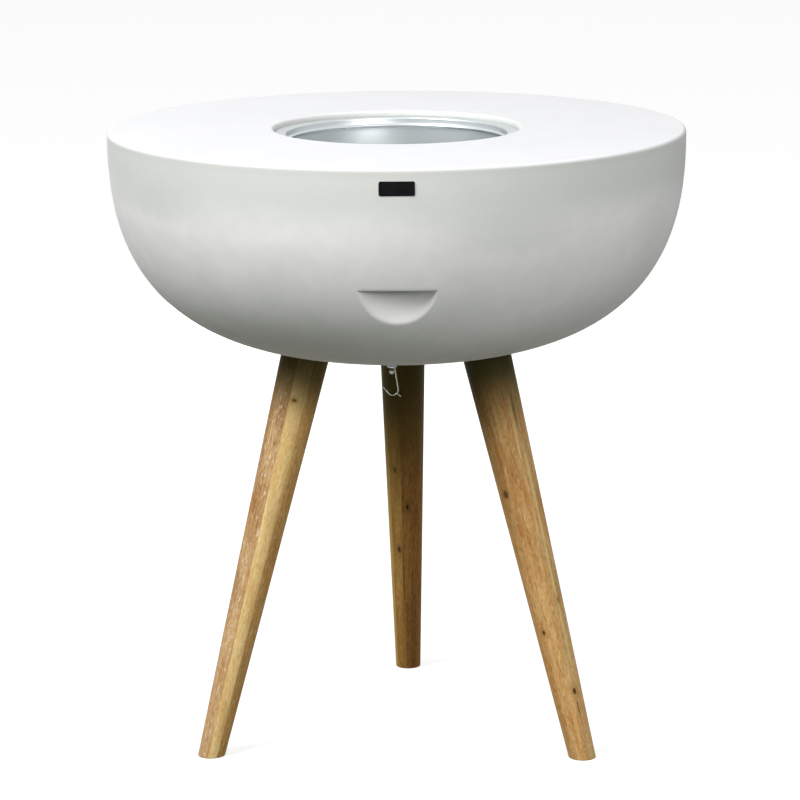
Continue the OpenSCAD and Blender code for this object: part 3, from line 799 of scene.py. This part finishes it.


# core: the light and dark tone of a leg's middle piece
# staves: the pieces glued to it, each with its angle, how far out it starts, and its light and dark tone
# knots: angle, height along the leg, half width, half height and depth
# strips: angle, both sides, bottom, top, tone and share
# streaks: angle, height, half width, half height, tone and share
# the legs' tops are darkened by painted shade where the bowl's shadow falls: where it starts and where it is
# full along the leg, its share and its tone
woodShared = {
    "lateTone": (0.72, 0.62, 0.48), "fibre": (0.74, 0.66, 0.54), "pore": (0.52, 0.42, 0.3),
    "blushTone": (0.98, 0.72, 0.48), "paintedShadeTone": (0.065, 0.055, 0.016)}
woodLooks = {
    "FrontLeft": {
        **woodShared, "ringAngle": 75, "rings": 230, "wander": 3.2, "ringShare": 0.35, "blush": 0.3,
        "fleckShare": 0.2, "fleckElse": 0.6, "fleckScale": 300,
        "paintedShadeLow": 0.535, "paintedShadeHigh": 0.62, "paintedShade": 0.84,
        "core": ((0.96, 0.74, 0.37), (0.74, 0.51, 0.2)),
        "staves": [(-17.6, 0.4067, (0.76, 0.53, 0.29), (0.38, 0.2, 0.08)),
                   (150, 0.4756, (0.8, 0.51, 0.2), (0.46, 0.26, 0.085))],
        "fleck": (0.86, 0.73, 0.54), "halo": (0.45, 0.26, 0.09), "knot": (0.1, 0.055, 0.02),
        "knots": [(61, 577, 4.4, 3.0, 0.9), (34.7, 504, 1.1, 5.5, 0.8)], "strips": [],
        "streaks": [(28, 543, 4.0, 16, (0.36, 0.17, 0.07), 0.6), (25, 365, 6, 24, (0.42, 0.22, 0.08), 0.35),
                    (24, 139, 5, 26, (0.5, 0.22, 0.07), 0.5), (84, 400, 2.5, 120, (0.6, 0.38, 0.13), 0.3)]},
    "FrontRight": {
        **woodShared, "ringAngle": -40, "rings": 210, "wander": 4.2, "ringShare": 0.35, "blush": 0.4,
        "fleckShare": 0.32, "fleckElse": 0.25, "fleckScale": 360,
        "paintedShadeTone": (0.042, 0.038, 0.012), "paintedShadeLow": 0.505, "paintedShadeHigh": 0.63, "paintedShade": 0.98,
        "core": ((0.84, 0.55, 0.24), (0.52, 0.27, 0.09)),
        "staves": [(25, 0.494, (0.84, 0.58, 0.27), (0.5, 0.29, 0.12))],
        "fleck": (0.86, 0.68, 0.46), "halo": (0.46, 0.22, 0.065), "knot": (0.07, 0.04, 0.018),
        "knots": [(-100, 431, 5.5, 8.0, 0.8), (-89.4, 207, 3.0, 4.4, 0.95), (-27.3, 107, 3.4, 6.0, 0.95),
                  (-26, 80, 1.0, 14, 0.8), (-12, 252, 3.0, 7.0, 0.45)],
        "strips": [(-14.5, -0.08, 0.075, 120, 520, (0.84, 0.66, 0.28), 0.75)],
        "streaks": [(-20, 562, 2.8, 38, (0.17, 0.11, 0.05), 0.8),
                    (-76, 372, 6, 48, (0.5, 0.21, 0.05), 0.55), (-92, 500, 3.4, 70, (0.46, 0.19, 0.055), 0.7),
                    (-84, 380, 4.5, 30, (0.46, 0.2, 0.06), 0.5), (-90, 320, 2.5, 50, (0.46, 0.2, 0.07), 0.5),
                    (-78, 250, 4.0, 40, (0.5, 0.26, 0.09), 0.3)]},
    "Back": {
        **woodShared, "ringAngle": 150, "rings": 220, "wander": 3.6, "ringShare": 0.45, "blush": 0.3,
        "fleckShare": 0.15, "fleckElse": 0.1, "fleckScale": 420,
        "paintedShadeLow": 0.26, "paintedShadeHigh": 0.57, "paintedShade": 0.92,
        # this leg's darker tones are partly its own wood and partly painted shade, for the shade it stands in
        # at the back under the bowl
        "core": ((0.52, 0.28, 0.085), (0.27, 0.125, 0.036)),
        "staves": [(110, 0.506, (0.66, 0.39, 0.12), (0.4, 0.22, 0.06))],
        "fleck": (0.42, 0.26, 0.11), "halo": (0.18, 0.09, 0.03), "knot": (0.03, 0.015, 0.006),
        "knots": [(151, 394, 3.0, 5.5, 0.6), (189.6, 325, 2.8, 5.5, 0.95), (157, 242, 3.2, 6.5, 0.75)],
        "strips": [(122, -0.3, 0.1, -60, 560, (0.8, 0.58, 0.18), 0.5)],
        "streaks": [(172, 180, 1.6, 50, (0.13, 0.06, 0.02), 0.6),
                    (176, 300, 1.2, 60, (0.16, 0.08, 0.025), 0.4)]},
}


def makeLeg(side):
    # a taper that starts below the floor, is drawn out into its socket and sawn off level
    s = legPlace
    turn = legTurn(side)
    below = s["below"]
    slope = (s["topRadius"] - s["footRadius"]) / s["mouth"]
    middle = turn @ Vector((0, 0, (s["mouth"] - below) / 2))
    deselectAll()
    bpy.ops.mesh.primitive_cone_add(vertices=96, radius1=(s["footRadius"] - slope * below) * mm,
                                    radius2=s["topRadius"] * mm, depth=(s["mouth"] + below) * mm,
                                    location=middle * mm, rotation=turn.to_euler())
    leg = settle(named("leg" + side))
    axis = (turn.to_3x3() @ Vector((0, 0, 1))).normalized()
    edit(leg)
    selectFaces(leg, lambda middle, normal: normal.dot(axis) > 0.99)
    extrude(axis * (s["seat"] - s["mouth"]) * mm)
    bpy.ops.mesh.bevel(offset=s["topRound"] * mm, segments=3, affect="EDGES")
    bpy.ops.mesh.select_all(action="SELECT")
    saw(0, clear_inner=True)
    selectFaces(leg, lambda middle, normal: normal.z < -0.99)
    bpy.ops.mesh.bevel(offset=s["footRound"] * mm, segments=4, affect="EDGES")
    leave()
    cut(leg, rod("boltHole", s["boltHole"], s["seat"] - s["boltDepth"], s["seat"] + 1, turn, 32))
    smooth(leg, 30)
    dress(leg, "table", "leg_wood", wood("wood" + side, side, woodLooks[side]), s["nodes"][side])


for side in legPlace["angles"]:
    makeLeg(side)
print("legs made")


def rounded(centre, direction, radius):
    # domes the end of a wire whose last ring is selected
    for i in range(1, 6):
        across, up = ray(18 * i)
        acrossBefore, upBefore = ray(18 * (i - 1))
        extrude(direction * radius * (up - upBefore) * mm)
        if i == 5:
            bpy.ops.mesh.merge(type="CENTER")
        else:
            k = across / acrossBefore
            middle = centre + direction * radius * up * mm
            bpy.ops.transform.resize(value=(k, k, k), center_override=tuple(middle))


def wireStart(name, at, facing, radius):
    deselectAll()
    turn = Vector((0, 0, 1)).rotation_difference(facing).to_euler()
    bpy.ops.mesh.primitive_circle_add(vertices=24, radius=radius * mm, fill_type="NOTHING",
                                      location=at * mm, rotation=turn)
    return settle(named(name))


def closeEnds(piece):
    edit(piece, "DESELECT")
    bpy.ops.mesh.select_mode(type="EDGE")
    bpy.ops.mesh.select_non_manifold(extend=False, use_wire=False, use_boundary=True, use_multi_face=False,
                                     use_non_contiguous=False, use_verts=False)
    bpy.ops.mesh.edge_face_add()
    bpy.ops.mesh.select_all(action="SELECT")
    bpy.ops.mesh.normals_make_consistent(inside=False)
    leave()


def inPlane(degrees):
    # a direction in the upright plane of the hook's shank
    across, up = ray(degrees)
    return Vector((across, 0, up))


def makeHook():
    # the ring is spun round the stud, drawn out, turned down, bent up and domed
    s = hookSize
    base = Vector((s["x"], 0, s["eye"]))
    east, north = ray(s["eyeFrom"])
    first = base + Vector((east, north, 0)) * s["eyeRadius"]
    hook = wireStart("swivelHook", first, Vector((-north, east, 0)), s["wire"])
    edit(hook)
    spin(42, -s["eyeTurn"], base)
    arm = s["shankX"] - s["turnRadius"]
    extrude((arm * mm, 0, 0))
    middle = base + Vector((arm, -s["eyeRadius"], -s["turnRadius"]))
    spin(10, s["lean"] - 90, middle, (0, 1, 0))
    aside = inPlane(s["lean"])
    down = inPlane(s["lean"] - 90)
    for i in range(4):
        extrude(down * s["shank"] / 4 * mm)
    shankEnd = middle + aside * s["turnRadius"] + down * s["shank"]
    bendMiddle = shankEnd - aside * s["bend"]
    tipAt = s["tipAngle"] - 180
    spin(26, tipAt - s["lean"], bendMiddle, (0, 1, 0))
    tipDirection = inPlane(180 - s["tipAngle"])
    extrude(tipDirection * s["tip"] * mm)
    tipEnd = bendMiddle + inPlane(tipAt) * s["bend"] + tipDirection * s["tip"]
    rounded(tipEnd * mm, tipDirection, s["wire"])
    leave()
    tidy(hook, 60)
    closeEnds(hook)
    out = inPlane(s["spurAt"])
    spurFrom = bendMiddle + out * (s["bend"] - s["spurSunk"])
    spurLength = s["spur"] + s["spurSunk"]
    spur = wireStart("spur", spurFrom, out, s["spurWire"])
    edit(spur)
    extrude(out * spurLength * mm)
    rounded((spurFrom + out * spurLength) * mm, out, s["spurWire"])
    leave()
    tidy(spur, 60)
    closeEnds(spur)
    cut(hook, spur, "UNION")
    smooth(hook, 50)
    dress(hook, "swivel_hook", "bright_steel", hookSteel, "hook")


def sideways(piece, heights, name):
    # copies of a form at each height, over the stud's place, make one piece
    copies = []
    for z in heights:
        copy = piece.copy()
        copy.data = piece.data.copy()
        scene.collection.objects.link(copy)
        copy.location = (hookSize["x"] * mm, 0, z * mm)
        copies.append(copy)
    bpy.data.objects.remove(piece)
    pick(*copies)
    bpy.ops.object.join()
    return settle(named(name))


def hexNut(name, chamferLow=True):
    f = fastening
    height, chamfer = f["nut"], f["chamfer"]
    corner = f["flats"] / math.sqrt(3)
    flat = f["flats"] / 2 - 0.1
    wide = corner + 0.3
    nut = rod(name, corner, 0, height, vertices=6)
    low = [(0, 0), (flat, 0), (wide, chamfer)] if chamferLow else [(0, -1), (wide, -1)]
    high = [(wide, height - chamfer), (flat, height), (0, height)]
    cut(nut, turned("lens", low + high, ((45, 12),), closed=False), "INTERSECT")
    return nut


def makeNuts():
    f = fastening
    nut = hexNut("nutForm")
    cut(nut, rod("bore", f["stud"] + 0.05, -1, f["nut"] + 1, vertices=48))
    thick = f["washerThick"]
    heights = (f["floorIn"] + thick, f["underside"] - thick - f["nut"], f["eyeWasher"] + thick)
    nuts = sideways(nut, heights, "hookNuts")
    smooth(nuts, 25)
    dress(nuts, "table", "bright_steel", zincSteel, "hook_nuts")


def makeWashers():
    f = fastening
    e, t, r = f["washerEdge"], f["washerThick"], f["washer"]
    b = f["stud"] + 0.15
    ring = [(b, e), (b + e, 0), (r - e, 0), (r, e), (r, t - e), (r - e, t), (b + e, t), (b, t - e)]
    washer = turned("washerForm", ring, ((45, 8),))
    washers = sideways(washer, (f["floorIn"], f["underside"] - t, f["eyeWasher"]), "hookWashers")
    dress(washers, "table", "bright_steel", zincSteel, "hook_washers")


def makeStud():
    # its rolled thread is a row of fine grooves
    f = fastening
    stud, crest = f["stud"], f["stud"] - 0.02
    low = f["capTop"] - f["nut"] - f["past"]
    high = f["floorIn"] + f["washerThick"] + f["nut"] + f["past"]
    chamfer = 0.5
    line = [(0, low), (stud - chamfer, low), (stud, low + chamfer)]
    for i in range(int((high - low - 1.2) / f["pitch"])):
        z = low + 0.6 + i * f["pitch"]
        line += [(crest, z + 0.1), (f["core"], z + 0.4), (crest, z + 0.7)]
    line += [(stud, high - chamfer), (stud - chamfer, high), (0, high)]
    rods = sideways(turned("hookStud", line, ((45, 4),), closed=False), (0,), "hookStud")
    dress(rods, "table", "bright_steel", zincSteel, "hook_stud")


def makeDomeNut():
    f = fastening
    dome = hexNut("domeForm", False)
    radius = f["flats"] / 2 - 0.25
    straight = f["dome"] - radius
    line = [(0, 1), (radius, 1), (radius, -straight)] + arc(0, -straight, radius, 0, -90, 14)[1:]
    cut(dome, turned("domeCap", line, ((45, 8),), closed=False), "UNION")
    cut(dome, rod("bore", f["stud"] + 0.05, -f["past"] - 0.1, f["nut"] + 1, vertices=48))
    dome = sideways(dome, (f["capTop"] - f["nut"],), "hookDomeNut")
    smooth(dome, 25)
    dress(dome, "table", "bright_steel", hookSteel, "hook_dome_nut")


makeHook()
makeNuts()
makeWashers()
makeStud()
makeDomeNut()
print("hook made")


keptNodes = {"rim_gasket": gasketRubber, "insulation_sleeve": foamWhite, "insulation_base": foamWhite,
             "badge_pins": zincSteel, "leg_bolts": zincSteel, "leg_inserts": insertZinc}
for name, material in keptNodes.items():
    nodes[name].data.materials.clear()
    nodes[name].data.materials.append(material)
print("kept nodes finished")


stageLook = {
    "floorOther": (0.08, 0.088, 0.07), "floorGlow": 0.72, "floorDiffuse": 0.4, "worldOther": 0.8,
    "skyLow": 0.1, "skyHigh": 0.9, "seenHorizon": 0.95, "seenHigh": 0.3,
    "keyAt": (-3.7, -2.8, 4.5), "keyPower": 312.0, "keySize": 3.3,
    "fillAt": (1.97, -3.57, 2.15), "fillPower": 78.0, "fillSize": 2.4,
    "rearAt": (-0.9, 3.7, 0.62), "rearPower": 50.0, "rearSize": 1.1}


def seenDirectly(mix):
    path = mix.node("ShaderNodeLightPath").socket.node
    kinds = ("Is Camera Ray", "Is Glossy Ray", "Is Transmission Ray")
    camera, glossy, through = [Reading(mix, path.outputs[kind]) for kind in kinds]
    return mix.sum("MAXIMUM", mix.sum("MAXIMUM", camera, glossy), through)


def makeFloor():
    deselectAll()
    bpy.ops.mesh.primitive_plane_add(size=400, location=(0, 0, 0))
    floor = settle(named("studioFloor"))
    edit(floor)
    bpy.ops.mesh.subdivide(number_cuts=3)
    leave()
    look = stageLook
    mix = Recipe("paleFloor")
    white = mix.node("ShaderNodeBsdfDiffuse", None, {"Color": mix.tint((look["floorDiffuse"],) * 3)})
    bright = {"Color": mix.tint((1, 1, 1)), "Strength": look["floorGlow"]}
    glow = mix.node("ShaderNodeEmission", None, bright)
    pale = mix.node("ShaderNodeAddShader", None, {0: white, 1: glow})
    dim = mix.node("ShaderNodeBsdfDiffuse", None, {"Color": mix.tint(look["floorOther"])})
    mix.show(mix.node("ShaderNodeMixShader", None, {0: seenDirectly(mix), 1: dim, 2: pale}))
    mix.tree.nodes.remove(mix.shader)
    floor.data.materials.append(mix.material)


def makeWorld():
    # white where it is seen, and in what it lights weaker towards the horizon
    look = stageLook
    scene.world = bpy.data.worlds.new("softRoom")
    mix = Recipe("softRoom", scene.world)
    z = mix.parts(mix.place)[2]
    white = mix.tint((1, 1, 1))
    glow = mix.step(z, look["skyLow"], look["skyHigh"]) * look["worldOther"]
    plain = mix.node("ShaderNodeBackground", None, {"Color": white, "Strength": glow})
    seen = mix.step(z, 0.0, look["seenHigh"], look["seenHorizon"])
    shown = mix.node("ShaderNodeBackground", None, {"Color": white, "Strength": seen})
    mix.show(mix.node("ShaderNodeMixShader", None, {0: seenDirectly(mix), 1: plain, 2: shown}))


def softLight(name):
    # a round lamp that looks at the middle of the bowl
    at, power, size = (stageLook[name + part] for part in ("At", "Power", "Size"))
    deselectAll()
    bpy.ops.object.light_add(type="AREA", location=at)
    lamp = bpy.context.object
    lamp.name = name + "Light"
    lamp.rotation_euler = (Vector((0, 0, 0.8)) - Vector(at)).to_track_quat("-Z", "Y").to_euler()
    lamp.data.shape = "DISK"
    lamp.data.size = size
    lamp.data.energy = power


def makeCamera():
    view = {"at": (0.0025, -5.5243, 1.7196), "down": 12.107, "roll": -0.4, "lens": 160.64, "sensor": 36}
    down, roll = math.radians(view["down"]), math.radians(view["roll"])
    forward = Vector((0, math.cos(down), -math.sin(down)))
    up = Vector((0, math.sin(down), math.cos(down)))
    right = Vector((1, 0, 0)) * math.cos(roll) + up * math.sin(roll)
    up = right.cross(forward)
    turn = Matrix((right, up, -forward)).transposed().to_4x4()
    deselectAll()
    bpy.ops.object.camera_add()
    camera = bpy.context.object
    camera.matrix_world = Matrix.Translation(view["at"]) @ turn
    camera.data.lens = view["lens"]
    camera.data.sensor_width = view["sensor"]
    camera.data.clip_start, camera.data.clip_end = 0.05, 500
    scene.camera = camera


makeFloor()
makeWorld()
for lampName in ("key", "fill", "rear"):
    softLight(lampName)
makeCamera()
scene.view_settings.view_transform = "Standard"
print("stage made")
